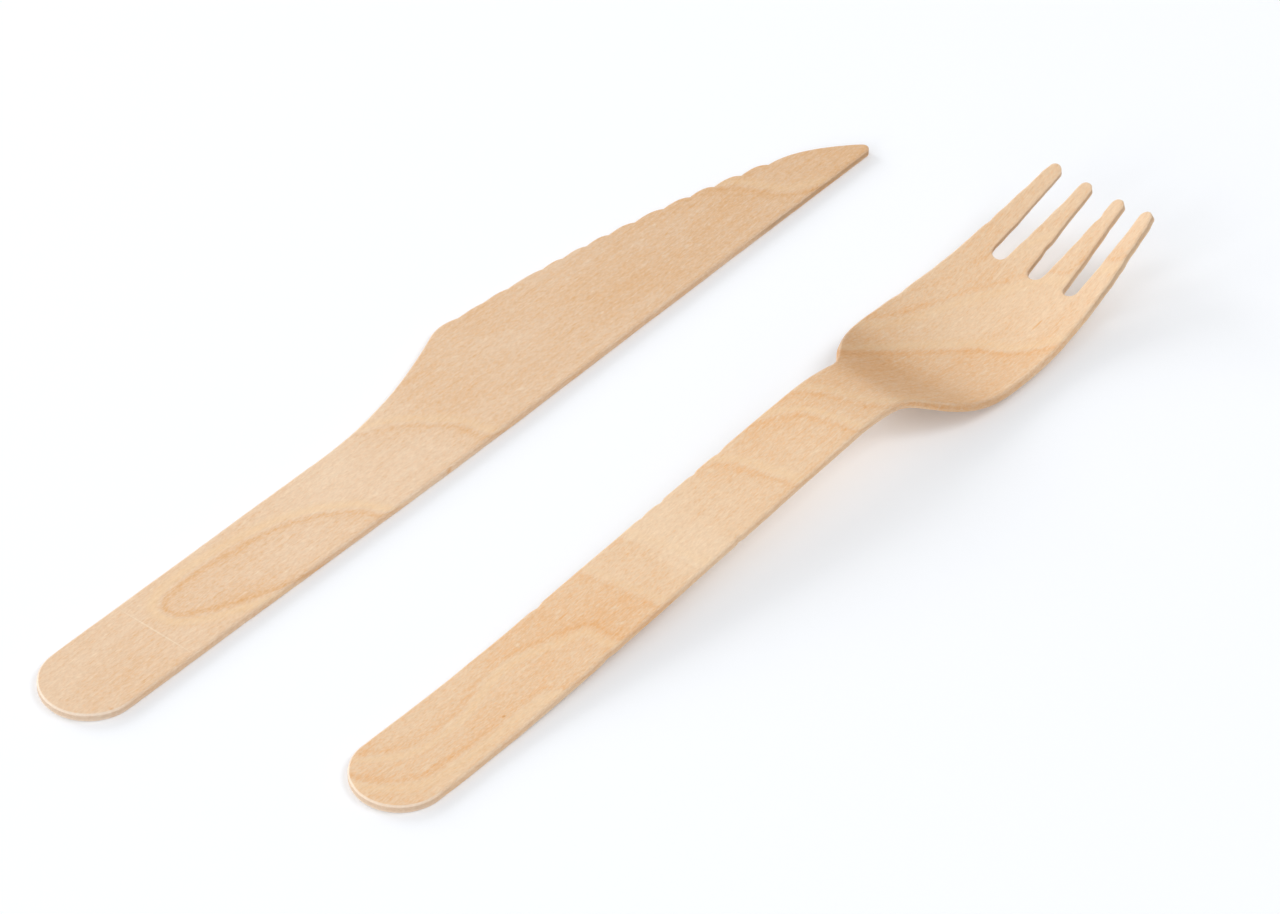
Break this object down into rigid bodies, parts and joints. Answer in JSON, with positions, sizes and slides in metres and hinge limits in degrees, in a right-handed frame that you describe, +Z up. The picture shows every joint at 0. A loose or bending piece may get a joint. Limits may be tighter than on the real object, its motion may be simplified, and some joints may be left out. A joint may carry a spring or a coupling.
{
  "type": "wooden cutlery set",
  "caption": "Throwaway wooden knife with a scalloped edge beside a wooden fork with a dished head and upturned, round-tipped tines, for takeaway meals.",
  "frame": {"origin": "centre of the pair's box, on the surface that it lies on", "axes": "+Y along the knife from handle end to point, +Z up, +X from the knife towards the fork"},
  "size_m": [0.0716, 0.1714, 0.0099],
  "materials": {
    "birch": "plain sanded birch sheet, unvarnished"
  },
  "bodies": {
    "root": {"knife": "birch", "fork": "birch"}
  },
  "joints": []
}
